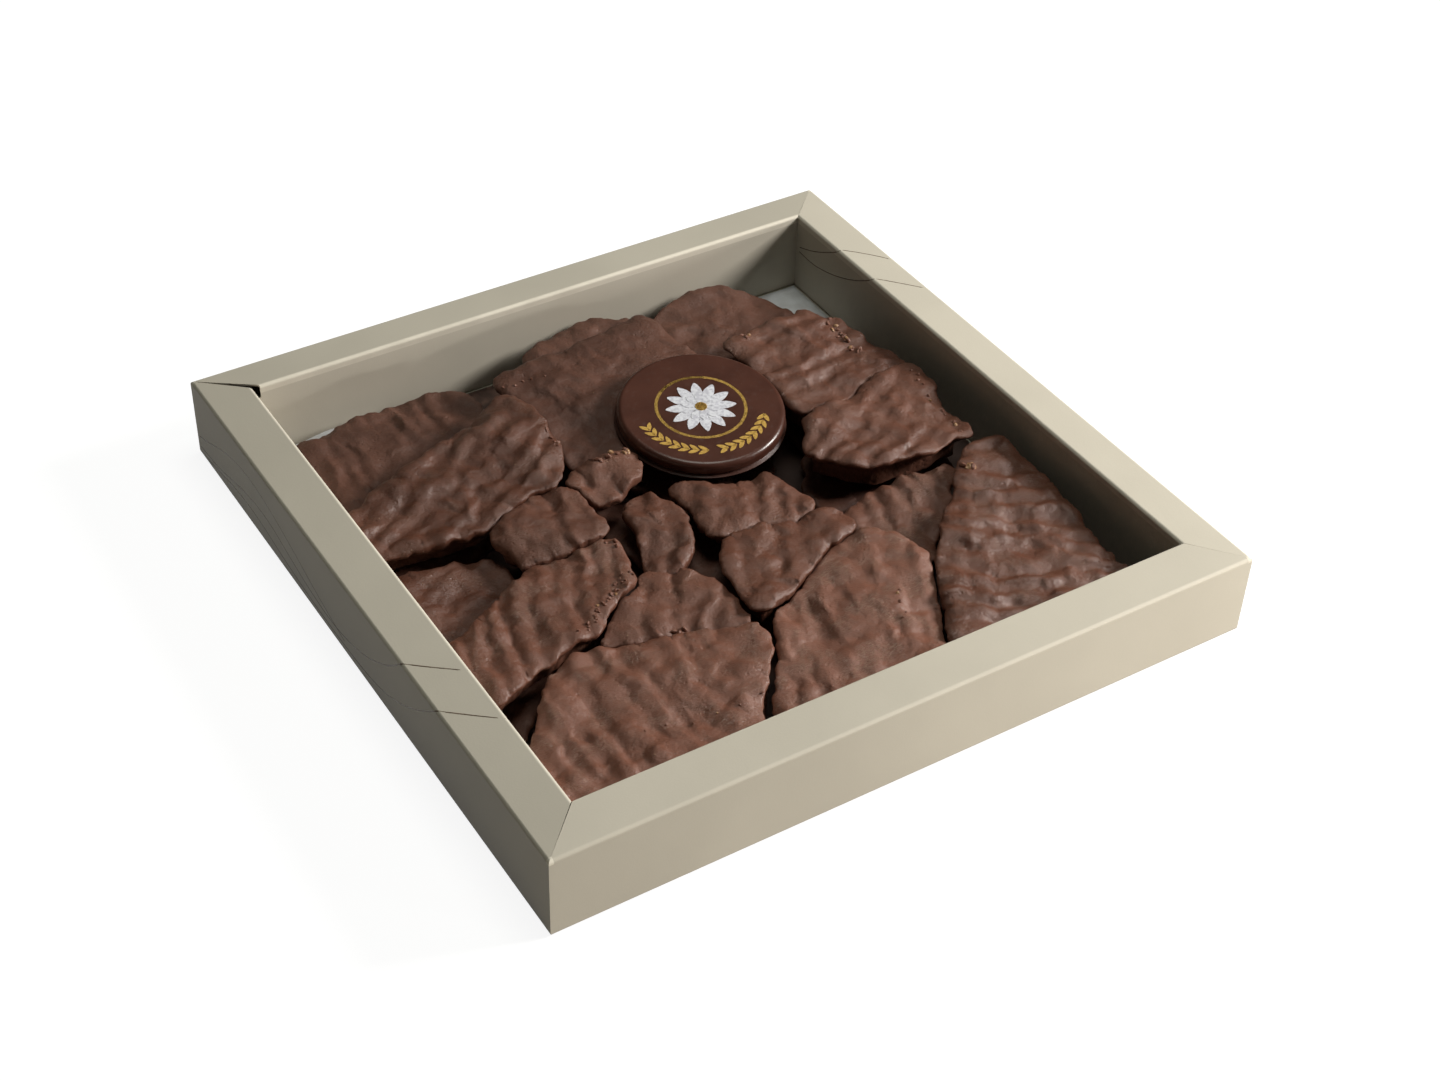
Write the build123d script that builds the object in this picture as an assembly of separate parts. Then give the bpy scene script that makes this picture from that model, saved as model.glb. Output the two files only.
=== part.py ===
from build123d import *
import math
import os

# A flat square carton of bark chocolate. Millimetres, +Z up.
# The origin is the centre of the carton's underside. The front wall faces -Y and the left wall faces -X.
# Each wall of the carton is one strip of board folded into a hollow: outer wall, top, inner wall, flange.
# The bark lies in two layers on a sheet of paper, and a moulded medallion leans on the back slab.

# Carton
box_side = 200.0
wall_height = 24.0
lip_rise = 1.3
frame_width = 12.75
board = 0.5
fold_radius = 0.9
foot_width = 2.2
flange_width = 7.0
flap_length = 15.0
flap_clearance = 2.5
seam_depth = 2.6
# How far each mitre of the top panels stands open at the inner lip
seam_widths = {"front_left": 0.35, "front_right": 0.12, "back_right": 0.15, "back_left": 2.2}

# Paper
paper_thickness = 0.2
paper_clearance = 0.6

# Bark
bark_thickness = 9.0
bark_gap = 1.0
corner_reach = 4.0
corner_share = 0.45
belly_share = 0.45
heel_draw = 0.6
shoulder_draw = 0.9
ripple_pitch = 5.6
ripple_depth = 0.9
ripple_pitch_shares = [1.0, 0.8, 1.2, 0.9, 1.1]
ripple_height_shares = [1.0, 0.65, 0.9, 0.55, 0.8]
dome_depth = 1.1
lower_thickness = 6.0
seat_gap = 0.3

# Medallion
medallion_radius = 23.4
medallion_height = 4.7
medallion_foot = 1.0
medallion_foot_round = 0.5
medallion_groove = 0.9
medallion_groove_height = 0.7
medallion_body_inset = 0.45
medallion_rim_round = 1.5
medallion_lean = 5.2
medallion_heading = 80.0
medallion_place_share = (0.181, 0.300)
beside_medallion = [
    "bark_right_rear", "bark_small_chunk", "bark_centre", "under_bark_centre", "under_bark_right",
]

overrun = 2.0
opening_half = box_side / 2 - frame_width

# Each outline is in shares of half the opening's width, anticlockwise, with +X right and +Y to the back.
outline_shares = {
    "bark_back_left": [
        (-1.00, 0.41), (-0.83, 0.472), (-0.57, 0.572), (-0.38, 0.655), (-0.345, 0.76),
        (-0.33, 0.84), (-0.37, 0.92), (-0.54, 0.94), (-0.80, 0.905), (-1.00, 0.85),
    ],
    "bark_left_rear": [
        (-1.00, 0.17), (-0.80, 0.17), (-0.64, 0.155), (-0.50, 0.205), (-0.335, 0.25), (-0.28, 0.36),
        (-0.265, 0.47), (-0.26, 0.58), (-0.29, 0.70), (-0.38, 0.655), (-0.57, 0.572), (-0.83, 0.472),
        (-1.00, 0.41),
    ],
    "bark_back_mound": [
        (-0.16, 0.85), (-0.04, 0.845), (0.14, 0.85), (0.32, 0.89), (0.22, 0.955), (0.13, 0.98),
        (-0.02, 0.965), (-0.105, 0.92),
    ],
    "bark_back_slab": [
        (-0.27, 0.285), (-0.12, 0.30), (0.06, 0.31), (0.36, 0.34), (0.385, 0.45), (0.355, 0.575),
        (0.33, 0.70), (0.33, 0.87), (0.14, 0.83), (-0.05, 0.825), (-0.285, 0.83), (-0.295, 0.77),
        (-0.275, 0.70), (-0.255, 0.58), (-0.26, 0.47),
    ],
    "bark_back_right": [
        (0.36, 0.575), (0.48, 0.61), (0.70, 0.635), (0.80, 0.66), (0.77, 0.84), (0.66, 0.945),
        (0.52, 0.975), (0.375, 0.92), (0.345, 0.81), (0.335, 0.69),
    ],
    "bark_right_rear": [
        (0.45, 0.13), (0.70, 0.18), (0.93, 0.225), (0.87, 0.40), (0.86, 0.51), (0.80, 0.60),
        (0.77, 0.65), (0.70, 0.63), (0.48, 0.605), (0.43, 0.59), (0.455, 0.40),
    ],
    "bark_right_middle": [
        (0.45, -0.215), (0.66, -0.205), (0.88, -0.185), (0.87, -0.02), (0.92, 0.10), (0.93, 0.22),
        (0.70, 0.175), (0.45, 0.125), (0.37, 0.04), (0.345, -0.02), (0.39, -0.12),
    ],
    "bark_right_wedge": [
        (0.42, -0.61), (0.50, -0.52), (0.60, -0.41), (0.72, -0.31), (0.80, -0.225), (0.66, -0.21),
        (0.45, -0.22), (0.31, -0.255), (0.355, -0.37), (0.412, -0.482),
    ],
    "bark_centre": [
        (-0.05, -0.20), (0.07, -0.207), (0.18, -0.235), (0.265, -0.23), (0.28, -0.17), (0.25, -0.07),
        (0.24, 0.005), (0.17, -0.005), (0.08, 0.02), (0.00, 0.065), (-0.045, 0.09), (-0.055, 0.00),
        (-0.075, -0.12),
    ],
    "bark_centre_front": [
        (-0.115, -0.57), (0.03, -0.505), (0.15, -0.42), (0.26, -0.395), (0.34, -0.33), (0.30, -0.265),
        (0.18, -0.245), (0.07, -0.217), (-0.05, -0.21), (-0.12, -0.30), (-0.155, -0.45), (-0.165, -0.55),
    ],
    "bark_left_middle": [
        (-1.00, -0.24), (-0.88, -0.188), (-0.76, -0.12), (-0.63, -0.055), (-0.625, 0.03), (-0.66, 0.11),
        (-0.82, 0.15), (-1.00, 0.145),
    ],
    "bark_left_front": [
        (-1.00, -0.55), (-0.80, -0.45), (-0.70, -0.42), (-0.61, -0.41), (-0.54, -0.365),
        (-0.46, -0.31), (-0.365, -0.25), (-0.355, -0.17), (-0.33, -0.10), (-0.345, -0.055),
        (-0.63, -0.055), (-0.76, -0.12), (-0.88, -0.188), (-1.00, -0.24),
    ],
    "bark_left_knob": [
        (-0.62, -0.05), (-0.345, -0.05), (-0.33, 0.03), (-0.325, 0.13), (-0.35, 0.205), (-0.42, 0.225),
        (-0.54, 0.185), (-0.65, 0.115), (-0.615, 0.03),
    ],
    "bark_small_chunk": [
        (-0.30, 0.135), (-0.25, 0.125), (-0.165, 0.13), (-0.125, 0.19), (-0.105, 0.25), (-0.125, 0.285),
        (-0.20, 0.27), (-0.305, 0.245), (-0.315, 0.19),
    ],
    "bark_sliver": [
        (-0.22, -0.265), (-0.125, -0.15), (-0.085, -0.06), (-0.07, 0.02), (-0.095, 0.105),
        (-0.195, 0.125), (-0.24, 0.035), (-0.265, -0.055), (-0.31, -0.16), (-0.30, -0.22),
    ],
    "bark_front_left": [
        (-1.00, -1.00), (-0.43, -1.00), (-0.36, -0.90), (-0.28, -0.79), (-0.17, -0.64), (-0.18, -0.575),
        (-0.30, -0.53), (-0.41, -0.50), (-0.51, -0.475), (-0.61, -0.44), (-0.70, -0.445),
        (-0.76, -0.48), (-0.85, -0.555), (-0.91, -0.63), (-1.00, -0.77),
    ],
    "bark_front_left_rear": [
        (-0.585, -0.42), (-0.51, -0.465), (-0.41, -0.495), (-0.30, -0.525), (-0.18, -0.565),
        (-0.175, -0.46), (-0.185, -0.36), (-0.22, -0.28), (-0.305, -0.225), (-0.37, -0.26),
        (-0.46, -0.32), (-0.54, -0.375),
    ],
    "bark_front_centre": [
        (-0.37, -1.00), (0.21, -1.00), (0.335, -0.73), (0.415, -0.61), (0.405, -0.485), (0.355, -0.39),
        (0.26, -0.40), (0.15, -0.425), (0.03, -0.51), (-0.115, -0.575), (-0.18, -0.70), (-0.28, -0.84),
    ],
    "bark_front_right": [
        (0.22, -1.00), (0.89, -1.00), (0.90, -0.72), (0.93, -0.52), (0.955, -0.37), (0.945, -0.27),
        (0.89, -0.21), (0.81, -0.225), (0.72, -0.315), (0.60, -0.415), (0.50, -0.525), (0.42, -0.615),
        (0.34, -0.735),
    ],
    "under_bark_left_rear": [
        (-0.98, 0.19), (-0.64, 0.18), (-0.34, 0.27), (-0.27, 0.60), (-0.40, 0.62), (-0.83, 0.46),
        (-0.98, 0.40),
    ],
    "under_bark_back": [
        (-0.06, 0.17), (0.03, 0.085), (0.16, 0.04), (0.30, 0.07), (0.39, 0.16), (0.40, 0.30),
        (0.365, 0.45), (0.335, 0.62), (0.32, 0.86), (0.17, 0.95), (-0.03, 0.94), (-0.31, 0.86),
        (-0.31, 0.76), (-0.215, 0.44), (-0.115, 0.285),
    ],
    "under_bark_right": [
        (0.34, -0.19), (0.86, -0.17), (0.85, 0.00), (0.90, 0.19), (0.84, 0.45), (0.76, 0.61),
        (0.46, 0.58), (0.475, 0.17), (0.34, 0.00),
    ],
    "under_bark_centre": [
        (-0.13, -0.55), (0.03, -0.48), (0.31, -0.32), (0.31, -0.20), (0.20, 0.01), (0.00, 0.075),
        (-0.10, 0.15), (-0.155, 0.25), (-0.29, 0.22), (-0.28, -0.08), (-0.17, -0.38),
    ],
    "under_bark_left_front": [
        (-0.98, -0.66), (-0.89, -0.56), (-0.79, -0.465), (-0.60, -0.38), (-0.38, -0.23), (-0.32, -0.08),
        (-0.33, 0.19), (-0.45, 0.13), (-0.98, -0.35),
    ],
    "under_bark_front_left": [
        (-0.98, -0.98), (-0.41, -0.98), (-0.32, -0.87), (-0.15, -0.61), (-0.19, -0.38), (-0.30, -0.245),
        (-0.56, -0.42), (-0.72, -0.45), (-0.89, -0.63), (-0.98, -0.77),
    ],
    "under_bark_front_centre": [
        (-0.39, -0.98), (0.20, -0.98), (0.32, -0.74), (0.40, -0.60), (0.39, -0.42), (0.16, -0.45),
        (0.03, -0.53), (-0.13, -0.61), (-0.30, -0.86),
    ],
    "under_bark_front_right": [
        (0.25, -0.98), (0.87, -0.98), (0.88, -0.72), (0.92, -0.40), (0.91, -0.26), (0.82, -0.25),
        (0.55, -0.50), (0.37, -0.73),
    ],
}

# Top layer: what the piece lies on, the heading its ripples run along in degrees (None is a smooth dome),
# its lean in degrees and the heading of the side that the lean raises.
top_layer = {
    "bark_back_left": ("liner_sheet", 88, 3.0, 265),
    "bark_left_rear": ("under_bark_left_rear", 34, 3.5, 50),
    "bark_back_mound": ("under_bark_back", None, 1.5, 100),
    "bark_back_slab": ("under_bark_back", None, 4.5, 72),
    "bark_back_right": ("liner_sheet", None, 3.5, 75),
    "bark_right_rear": ("under_bark_right", 12, 3.5, 165),
    "bark_right_middle": ("under_bark_right", 30, 3.0, 195),
    "bark_right_wedge": ("liner_sheet", 80, 3.0, 60),
    "bark_centre": ("under_bark_centre", 60, 3.0, 285),
    "bark_centre_front": ("under_bark_centre", 66, 2.5, 250),
    "bark_left_middle": ("liner_sheet", 25, 3.5, 150),
    "bark_left_front": ("under_bark_left_front", 74, 3.0, 285),
    "bark_left_knob": ("under_bark_left_front", 80, 2.5, 20),
    "bark_small_chunk": ("under_bark_centre", 70, 2.0, 60),
    "bark_sliver": ("under_bark_centre", 62, 1.5, 90),
    "bark_front_left": ("under_bark_front_left", 90, 2.0, 300),
    "bark_front_left_rear": ("under_bark_front_left", 55, 2.5, 250),
    "bark_front_centre": ("under_bark_front_centre", 70, 2.0, 320),
    "bark_front_right": ("under_bark_front_right", 160, 3.5, 150),
}
thickness_shares = {
    "bark_back_left": 0.95,
    "bark_left_rear": 1.0,
    "bark_back_mound": 0.75,
    "bark_back_slab": 0.8,
    "bark_back_right": 1.1,
    "bark_right_rear": 1.0,
    "bark_right_middle": 1.15,
    "bark_right_wedge": 1.2,
    "bark_centre": 0.8,
    "bark_centre_front": 1.0,
    "bark_left_middle": 1.1,
    "bark_left_front": 1.0,
    "bark_left_knob": 1.08,
    "bark_small_chunk": 1.15,
    "bark_sliver": 0.72,
    "bark_front_left": 0.97,
    "bark_front_left_rear": 0.86,
    "bark_front_centre": 0.92,
    "bark_front_right": 0.9,
}


def turned(item, degrees):
    """The item turned about the carton's upright centre line."""
    return Rot(0, 0, degrees) * item


def closed_pairs(items):
    """Each item with the one after it, and the last with the first."""
    return list(zip(items, items[1:] + items[:1]))


# Carton


def wall_profile():
    """Section across the front wall: the folded strip, its outside face fold_radius round at each crease."""
    outer_y = -box_side / 2
    lip_y = -opening_half
    corners = [
        (outer_y + foot_width, 0),
        (outer_y, 0),
        (outer_y, wall_height),
        (lip_y, wall_height + lip_rise),
        (lip_y, board),
        (lip_y - flange_width, board),
    ]
    outside = Plane.YZ * FilletPolyline(*corners, radius=fold_radius)
    return make_face(outside.offset_2d(board, side=Side.RIGHT).edges())


def mitre_wedge():
    """Everything in front of the two diagonals of the carton, which the front wall fills."""
    reach = box_side / 2 + overrun
    corners = Polyline((0, 0), (-reach, -reach), (reach, -reach), close=True)
    below = Pos(0, 0, -overrun)
    return below * extrude(make_face(corners), wall_height + lip_rise + overrun + overrun)


def folded_wall():
    """The front wall with a mitre at each end."""
    strip = extrude(wall_profile(), box_side / 2, both=True)
    return strip & mitre_wedge()


def glue_flap(side):
    """A flap folded from the front wall's end and glued inside the next wall, at side -1 or 1."""
    height = wall_height - flap_clearance - flap_clearance
    low_y = -box_side / 2 + board
    flap = Box(board, flap_length, height, align=(Align.MIN, Align.MIN, Align.MIN))
    flap = Pos(-box_side / 2 + board, low_y, flap_clearance) * flap
    return flap if side < 0 else mirror(flap, Plane.YZ)


def open_seam(width, side):
    """A thin wedge over the front wall's mitre, at side -1 or 1, from the outer corner to the lip."""
    outer = box_side / 2
    lip = opening_half - overrun
    spread = width * (outer - lip) / frame_width
    corners = Polyline((-outer, -outer), (-lip, -lip - spread), (-lip, -lip), close=True)
    wedge = extrude(make_face(corners), seam_depth + lip_rise + overrun)
    wedge = Pos(0, 0, wall_height - seam_depth) * wedge
    return wedge if side < 0 else mirror(wedge, Plane.YZ)


def flapped_wall(left_seam, right_seam):
    """A front or back wall: mitred strip, a glue flap at each end, and the seams of its top panel."""
    wall = folded_wall() + glue_flap(-1) + glue_flap(1)
    return wall - open_seam(seam_widths[left_seam], -1) - open_seam(seam_widths[right_seam], 1)


def base_panel():
    side = box_side - foot_width - foot_width
    return Box(side, side, board, align=(Align.CENTER, Align.CENTER, Align.MIN))


def liner_sheet():
    side = 2 * (opening_half - paper_clearance)
    sheet = Box(side, side, paper_thickness, align=(Align.CENTER, Align.CENTER, Align.MIN))
    return Pos(0, 0, board + seat_gap) * sheet


# Bark


def drawn_in(points, amount):
    """The corners of the outline moved inwards, so that each side moves by the amount."""
    moved = []
    for (before, here), (_, after) in closed_pairs(closed_pairs(points)):
        arriving = (here - before).normalized()
        leaving = (after - here).normalized()
        inward = Vector(-arriving.Y - leaving.Y, arriving.X + leaving.X)
        moved.append(here + inward * (amount / (1 + arriving.dot(leaving))))
    return moved[-1:] + moved[:-1]


def rounded_section(points, height):
    """A closed wire at a height: straight sides joined by tangent arcs."""
    corners = []
    for (before, here), (_, after) in closed_pairs(closed_pairs(points)):
        back = before - here
        ahead = after - here
        setback = min(corner_reach, corner_share * min(back.length, ahead.length))
        corners.append((here + back.normalized() * setback, here + ahead.normalized() * setback, -back))
    edges = []
    for (enter, leave, heading), (following, _, _) in closed_pairs(corners):
        edges.append(TangentArc(enter, leave, tangent=heading).edge())
        edges.append(Line(leave, following).edge())
    return Pos(0, 0, height) * Wire(edges)


def swells(length, pitch, depth, crest):
    """A square slab whose top is a row of rounded swells along X, the highest of them at the crest."""
    count = math.ceil(length / (pitch * min(ripple_pitch_shares)))
    across = -length / 2
    valley = crest - depth
    edges = []
    for index in range(count):
        width = pitch * ripple_pitch_shares[index % len(ripple_pitch_shares)]
        height = depth * ripple_height_shares[index % len(ripple_height_shares)]
        top = (across + width / 2, valley + height)
        edges.append(ThreePointArc((across, valley), top, (across + width, valley)))
        across += width
    start = -length / 2
    edges.append(Polyline((across, valley), (across, -overrun), (start, -overrun), (start, valley)))
    return extrude(Plane.YZ * make_face(edges), length / 2, both=True)


def slab(name, thickness, grain):
    """One broken piece about its own centre, widest at its belly, with a rippled or domed top."""
    corners = [Vector(x, y) * opening_half for x, y in outline_shares[name]]
    centre = sum(corners, Vector()) / len(corners)
    corners = [corner - centre for corner in corners]
    sections = [
        (heel_draw, 0),
        (0, thickness * belly_share),
        (shoulder_draw, thickness + dome_depth),
    ]
    wires = [rounded_section(drawn_in(corners, bark_gap / 2 + draw), height) for draw, height in sections]
    body = Solid.make_loft(wires, ruled=True)
    reach = 2 * max(corner.length for corner in corners) + overrun
    if grain is None:
        top = swells(reach, reach, dome_depth, thickness)
    else:
        top = turned(swells(reach, ripple_pitch, ripple_depth, thickness), grain)
    return body & top, centre


def leaned(item, lean, heading):
    """The item tipped about its centre so that its side at the heading rises."""
    level = Vector(0, -1, 0).rotate(Axis.Z, heading)
    return item.rotate(Axis((0, 0, 0), level), lean)


def rested(item, centre, top_below):
    """The item over its centre, with its lowest point a seat gap above what it lies on."""
    lift = top_below + seat_gap - item.bounding_box().min.Z
    return Pos(centre.X, centre.Y, lift) * item


def lower_piece(name, top_below):
    piece, centre = slab(name, lower_thickness, None)
    return rested(piece, centre, top_below)


# Medallion


def medallion_blank():
    """The disc flat on its underside: a thin foot, a groove, and a body with a rounded rim."""
    body_radius = medallion_radius - medallion_body_inset
    groove_radius = medallion_radius - medallion_groove
    groove_top = medallion_foot + medallion_groove_height
    rim_low = medallion_height - medallion_rim_round
    face_radius = body_radius - medallion_rim_round
    under_radius = medallion_radius - medallion_foot_round
    foot_side = (medallion_radius, medallion_foot_round)
    outline = [
        Line((0, 0), (under_radius, 0)),
        RadiusArc((under_radius, 0), foot_side, -medallion_foot_round),
        Polyline(
            foot_side,
            (groove_radius, medallion_foot),
            (body_radius, groove_top),
            (body_radius, rim_low),
        ),
        RadiusArc((body_radius, rim_low), (face_radius, medallion_height), -medallion_rim_round),
        Polyline((face_radius, medallion_height), (0, medallion_height), (0, 0)),
    ]
    return revolve(Plane.XZ * make_face(outline), Axis.Z)


def medallion_centre():
    return Vector(*medallion_place_share) * opening_half


def medallion_well():
    """The upright space that the medallion passes through when it lifts, with a gap round it."""
    well = Cylinder(medallion_radius + seat_gap, box_side, align=(Align.CENTER, Align.CENTER, Align.CENTER))
    return Pos(*medallion_centre()) * well


def medallion_on(slab_below):
    """The medallion leaned to its angle, and lowered until it is a seat gap from the slab."""
    centre = medallion_centre()
    under = Pos(-centre.X, -centre.Y, 0) * (slab_below & medallion_well())
    support = leaned(under, -medallion_lean, medallion_heading).bounding_box().max.Z
    middle = medallion_height / 2
    height = (support + seat_gap + middle) / math.cos(math.radians(medallion_lean))
    disc = leaned(Pos(0, 0, -middle) * medallion_blank(), medallion_lean, medallion_heading)
    return Pos(centre.X, centre.Y, height) * disc


def build():
    parts = {
        "base_panel": base_panel(),
        "wall_front": flapped_wall("front_left", "front_right"),
        "wall_right": turned(folded_wall(), 90),
        "wall_back": turned(flapped_wall("back_right", "back_left"), 180),
        "wall_left": turned(folded_wall(), -90),
        "liner_sheet": liner_sheet(),
    }
    floor = parts["liner_sheet"].bounding_box().max.Z
    for name in outline_shares:
        if name not in top_layer:
            parts[name] = lower_piece(name, floor)
    for name, (carrier, grain, lean, heading) in top_layer.items():
        piece, centre = slab(name, bark_thickness * thickness_shares[name], grain)
        below = parts[carrier].bounding_box().max.Z
        parts[name] = rested(leaned(piece, lean, heading), centre, below)
    parts["medallion"] = medallion_on(parts["bark_back_slab"])
    for name in beside_medallion:
        parts[name] = parts[name] - medallion_well()
    return parts


os.makedirs("parts", exist_ok=True)
for node, solid in build().items():
    export_step(solid, "parts/" + node + ".step")
    print(node)
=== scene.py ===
import math
import random
import bpy
from mathutils import Euler, Matrix, Vector
from mathutils.bvhtree import BVHTree


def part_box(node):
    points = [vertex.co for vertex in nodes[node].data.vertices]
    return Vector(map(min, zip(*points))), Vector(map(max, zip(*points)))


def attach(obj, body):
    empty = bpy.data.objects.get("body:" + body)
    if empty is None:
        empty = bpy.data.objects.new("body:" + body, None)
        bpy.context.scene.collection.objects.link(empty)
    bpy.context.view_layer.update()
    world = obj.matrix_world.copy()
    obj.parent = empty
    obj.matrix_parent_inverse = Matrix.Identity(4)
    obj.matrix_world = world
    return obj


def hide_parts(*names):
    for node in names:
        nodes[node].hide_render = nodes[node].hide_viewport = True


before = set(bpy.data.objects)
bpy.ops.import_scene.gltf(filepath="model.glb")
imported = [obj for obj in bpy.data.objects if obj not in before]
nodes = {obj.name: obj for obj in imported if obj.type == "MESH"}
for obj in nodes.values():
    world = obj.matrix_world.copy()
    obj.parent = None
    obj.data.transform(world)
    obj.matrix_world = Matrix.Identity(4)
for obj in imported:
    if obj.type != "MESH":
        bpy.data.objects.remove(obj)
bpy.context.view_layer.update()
mm = 0.001

# Lengths are in metres, most of them written as millimetres times mm. Angles are in degrees, and
# colours are linear.


# shader maths

class Wire:
    def __init__(self, shader, socket):
        self.shader = shader
        self.socket = socket

    def maths(self, operation, *others, swap=False):
        values = [self, *others]
        if swap:
            values.reverse()
        inputs = dict(enumerate(values))
        return self.shader.node("ShaderNodeMath", {"operation": operation}, inputs)["Value"]

    def __add__(self, other):
        return self.maths("ADD", other)

    def __sub__(self, other):
        return self.maths("SUBTRACT", other)

    def __rsub__(self, other):
        return self.maths("SUBTRACT", other, swap=True)

    def __mul__(self, other):
        return self.maths("MULTIPLY", other)

    def __gt__(self, other):
        return self.maths("GREATER_THAN", other)

    def __abs__(self):
        return self.maths("ABSOLUTE")

    __radd__ = __add__
    __rmul__ = __mul__

    def most(self, other):
        return self.maths("MAXIMUM", other)

    def least(self, other):
        return self.maths("MINIMUM", other)

    def fade(self, low, high):
        settings = {"interpolation_type": "SMOOTHSTEP"}
        inputs = {"Value": self, "From Min": low, "From Max": high}
        return self.shader.node("ShaderNodeMapRange", settings, inputs)["Result"]


class Made:
    def __init__(self, shader, node):
        self.shader = shader
        self.node = node

    def __getitem__(self, name):
        for socket in self.node.outputs:
            if name in (socket.identifier, socket.name):
                return Wire(self.shader, socket)
        raise KeyError(name)


class Shader:
    def __init__(self, name):
        self.material = bpy.data.materials.new(name)
        self.material.use_nodes = True
        self.tree = self.material.node_tree
        self.tree.nodes.clear()
        self.place = self.node("ShaderNodeTexCoord", {}, {})["Object"]

    def node(self, kind, settings, inputs):
        made = self.tree.nodes.new(kind)
        for key, value in settings.items():
            setattr(made, key, value)
        for key, value in inputs.items():
            named = [s for s in made.inputs if key in (s.identifier, s.name)]
            socket = made.inputs[key] if isinstance(key, int) else named[0]
            if isinstance(value, Wire):
                self.tree.links.new(value.socket, socket)
            elif isinstance(value, tuple) and len(value) == 3 and socket.type == "RGBA":
                socket.default_value = (*value, 1)
            else:
                socket.default_value = value
        return Made(self, made)

    def noise(self, size, detail=2, place=None, distortion=0.0):
        inputs = {"Vector": place or self.place, "Scale": 1 / size, "Detail": detail}
        inputs["Distortion"] = distortion
        return self.node("ShaderNodeTexNoise", {}, inputs)["Fac"]

    def cells(self, size):
        inputs = {"Vector": self.place, "Scale": 1 / size}
        return self.node("ShaderNodeTexVoronoi", {}, inputs)["Distance"]

    def stretched(self, turn, scale):
        inputs = {"Vector": self.place, "Rotation": turn, "Scale": scale}
        return self.node("ShaderNodeMapping", {}, inputs)["Vector"]

    def axes(self):
        split = self.node("ShaderNodeSeparateXYZ", {}, {"Vector": self.place})
        return split["X"], split["Y"], split["Z"]

    def mixed(self, factor, first, second):
        inputs = {"Factor_Float": factor, "A_Color": first, "B_Color": second}
        return self.node("ShaderNodeMix", {"data_type": "RGBA"}, inputs)["Result_Color"]

    def bumped(self, height, distance, strength=1.0):
        inputs = {"Height": height, "Distance": distance, "Strength": strength}
        return self.node("ShaderNodeBump", {}, inputs)["Normal"]

    def finish(self, inputs):
        body = self.node("ShaderNodeBsdfPrincipled", {}, inputs)["BSDF"]
        self.node("ShaderNodeOutputMaterial", {}, {"Surface": body})
        return self.material


# camera, lamps and floor

photo = {
    "place": (-0.25546, -0.39873, 0.39769),
    "azimuth": 33.2905,
    "elevation": 40.0787,
    "roll": 2.1270,
    "lens": 58.164,
    "sensor": 36,
    "nearest": 10 * mm,
}


def addCamera():
    angles = [math.radians(photo[key]) for key in ("azimuth", "elevation", "roll")]
    azimuth, elevation, roll = angles
    ahead = Vector((
        math.sin(azimuth) * math.cos(elevation),
        math.cos(azimuth) * math.cos(elevation),
        -math.sin(elevation),
    ))
    right = Vector((math.cos(azimuth), -math.sin(azimuth), 0))
    up = right.cross(ahead)
    rolledRight = right * math.cos(roll) + up * math.sin(roll)
    rolledUp = up * math.cos(roll) - right * math.sin(roll)
    bpy.ops.object.camera_add(location=photo["place"])
    camera = bpy.context.object
    turn = Matrix((rolledRight, rolledUp, -ahead)).transposed()
    camera.matrix_world = Matrix.Translation(photo["place"]) @ turn.to_4x4()
    camera.data.lens = photo["lens"]
    camera.data.sensor_width = photo["sensor"]
    camera.data.clip_start = photo["nearest"]
    bpy.context.scene.camera = camera


lamps = {
    "key": {
        "place": (0.770, -0.280, 0.442), "size": 0.26, "power": 11.2, "colour": (1.0, 0.965, 0.92),
    },
    "top": {"place": (0.12, 0.05, 0.85), "size": 0.4, "power": 2.5, "colour": (0.97, 1.0, 0.92)},
    "card": {
        "place": (0.30, -0.52, 0.03), "size": 0.06, "power": 1.6, "colour": (1.0, 0.96, 0.91),
    },
}
lampAim = (0, 0, 10 * mm)
worldLight = {"colour": (1.0, 0.90, 0.74), "strength": 0.032}


def addLamps():
    for name, lamp in lamps.items():
        bpy.ops.object.light_add(type="AREA", location=lamp["place"])
        light = bpy.context.object
        light.name = name + "Lamp"
        light.data.size = lamp["size"]
        light.data.energy = lamp["power"]
        light.data.color = lamp["colour"]
        aim = Vector(lampAim) - Vector(lamp["place"])
        light.rotation_euler = aim.to_track_quat("-Z", "Y").to_euler()
    world = bpy.data.worlds.new("studio")
    bpy.context.scene.world = world
    world.use_nodes = True
    background = world.node_tree.nodes["Background"]
    background.inputs["Color"].default_value = (*worldLight["colour"], 1)
    background.inputs["Strength"].default_value = worldLight["strength"]


# bounce: what the object gets back; shade and glow: what is seen
floorLook = {
    "size": 6.0,
    "bounce": (0.33, 0.30, 0.24),
    "shade": (0.24, 0.24, 0.24),
    "glow": 0.90,
}


def addFloor():
    bpy.ops.mesh.primitive_plane_add(size=floorLook["size"])
    floor = bpy.context.object
    floor.name = "floor"
    shader = Shader("paleFloor")
    path = shader.node("ShaderNodeLightPath", {}, {})
    seen = path["Is Camera Ray"].most(path["Is Glossy Ray"]).most(path["Is Transmission Ray"])
    white = {"Color": (1.0, 1.0, 1.0), "Strength": floorLook["glow"]}
    glow = shader.node("ShaderNodeEmission", {}, white)
    matt = shader.node("ShaderNodeBsdfDiffuse", {}, {"Color": floorLook["bounce"]})
    shade = shader.node("ShaderNodeBsdfDiffuse", {}, {"Color": floorLook["shade"]})
    both = shader.node("ShaderNodeAddShader", {}, {0: glow["Emission"], 1: shade["BSDF"]})
    sides = {0: seen, 1: matt["BSDF"], 2: both["Shader"]}
    choice = shader.node("ShaderNodeMixShader", {}, sides)
    shader.node("ShaderNodeOutputMaterial", {}, {"Surface": choice["Shader"]})
    floor.data.materials.append(shader.material)


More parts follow.
